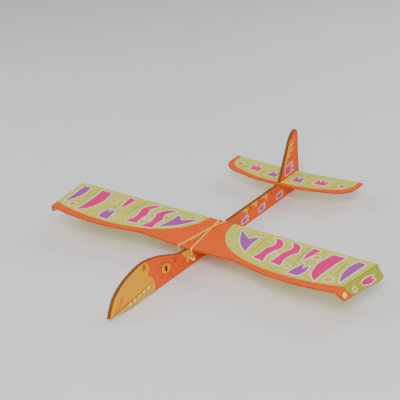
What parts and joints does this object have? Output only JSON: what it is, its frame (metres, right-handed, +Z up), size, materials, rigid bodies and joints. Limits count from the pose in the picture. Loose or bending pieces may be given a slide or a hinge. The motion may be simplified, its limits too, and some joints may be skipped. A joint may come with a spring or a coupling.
{
  "type": "balsa hand glider",
  "caption": "Hand-launched sheet balsa glider shaped like a flying reptile, with a wing held on by crossed rubber bands and fold-down wing tips.",
  "frame": {"origin": "on the belly of the fuselage plank, on its centre line, under the middle of the wing's chord", "axes": "+X to the glider's port side along the span, +Y aft, +Z up"},
  "size_m": [0.6, 0.5155, 0.1126],
  "materials": {
    "printed_balsa": "satin printed balsa, burnt cut edges",
    "bare_balsa": "bare sanded balsa",
    "birch_dowel": "smooth dowel",
    "nose_weight_steel": "blanked steel disc",
    "rubber_band": "matt gum rubber",
    "hinge_tape": "printed film",
    "sticker_pink": "glossy vinyl with a cream border",
    "sticker_purple": "glossy vinyl with a cream border",
    "sticker_yellow": "glossy vinyl"
  },
  "bodies": {
    "airframe": {"fuselage": "printed_balsa", "nose_weight": "nose_weight_steel", "wing_seat": "bare_balsa", "front_band_peg": "birch_dowel", "rear_band_peg": "birch_dowel", "tailplane": "printed_balsa", "fin": "printed_balsa", "rubber_band_lower": "rubber_band", "rubber_band_upper": "rubber_band", "wing_port": "printed_balsa", "saddle_rail_port": "bare_balsa", "hinge_tape_port": "hinge_tape", "wing_starboard": "printed_balsa", "saddle_rail_starboard": "bare_balsa", "hinge_tape_starboard": "hinge_tape", "sticker_port_arrow": "sticker_purple", "sticker_port_bone_inner": "sticker_pink", "sticker_port_bone_outer": "sticker_pink", "sticker_port_small_fin": "sticker_pink", "sticker_port_crown": "sticker_purple", "sticker_port_large_fin": "sticker_pink", "sticker_port_tip_fin": "sticker_purple", "sticker_port_dot_1": "sticker_yellow", "sticker_port_dot_2": "sticker_yellow", "sticker_port_dot_3": "sticker_yellow", "sticker_port_dot_4": "sticker_yellow", "sticker_port_tail_crown": "sticker_purple", "sticker_port_tail_comb": "sticker_pink", "sticker_port_tail_dot": "sticker_pink", "sticker_port_fin_comb": "sticker_pink", "sticker_port_boom_1": "sticker_purple", "sticker_port_boom_2": "sticker_purple", "sticker_port_boom_3": "sticker_purple", "sticker_starboard_arrow": "sticker_purple", "sticker_starboard_bone_inner": "sticker_pink", "sticker_starboard_bone_outer": "sticker_pink", "sticker_starboard_small_fin": "sticker_pink", "sticker_starboard_crown": "sticker_purple", "sticker_starboard_large_fin": "sticker_pink", "sticker_starboard_tip_fin": "sticker_purple", "sticker_starboard_dot_1": "sticker_yellow", "sticker_starboard_dot_2": "sticker_yellow", "sticker_starboard_dot_3": "sticker_yellow", "sticker_starboard_dot_4": "sticker_yellow", "sticker_starboard_tail_crown": "sticker_purple", "sticker_starboard_tail_comb": "sticker_pink", "sticker_starboard_tail_dot": "sticker_pink", "sticker_starboard_fin_comb": "sticker_pink", "sticker_starboard_boom_1": "sticker_purple", "sticker_starboard_boom_2": "sticker_purple", "sticker_starboard_boom_3": "sticker_purple"},
    "tip_port": {"tip_port": "printed_balsa", "sticker_port_tip_flame": "sticker_pink", "sticker_port_tip_dot": "sticker_yellow"},
    "tip_starboard": {"tip_starboard": "printed_balsa", "sticker_starboard_tip_flame": "sticker_pink", "sticker_starboard_tip_dot": "sticker_yellow"}
  },
  "joints": [
    {"name": "tip_port_fold", "type": "hinge", "parent": "airframe", "child": "tip_port", "pos_m": [0.27447, -0.073, 0.04909], "axis": [0.1676, 0.9858, 0.0088], "range_deg": [-65, 15], "deforming": ["hinge_tape_port"]},
    {"name": "tip_starboard_fold", "type": "hinge", "parent": "airframe", "child": "tip_starboard", "pos_m": [-0.27447, -0.073, 0.04909], "axis": [0.1676, -0.9858, -0.0088], "range_deg": [-65, 15], "deforming": ["hinge_tape_starboard"]}
  ]
}
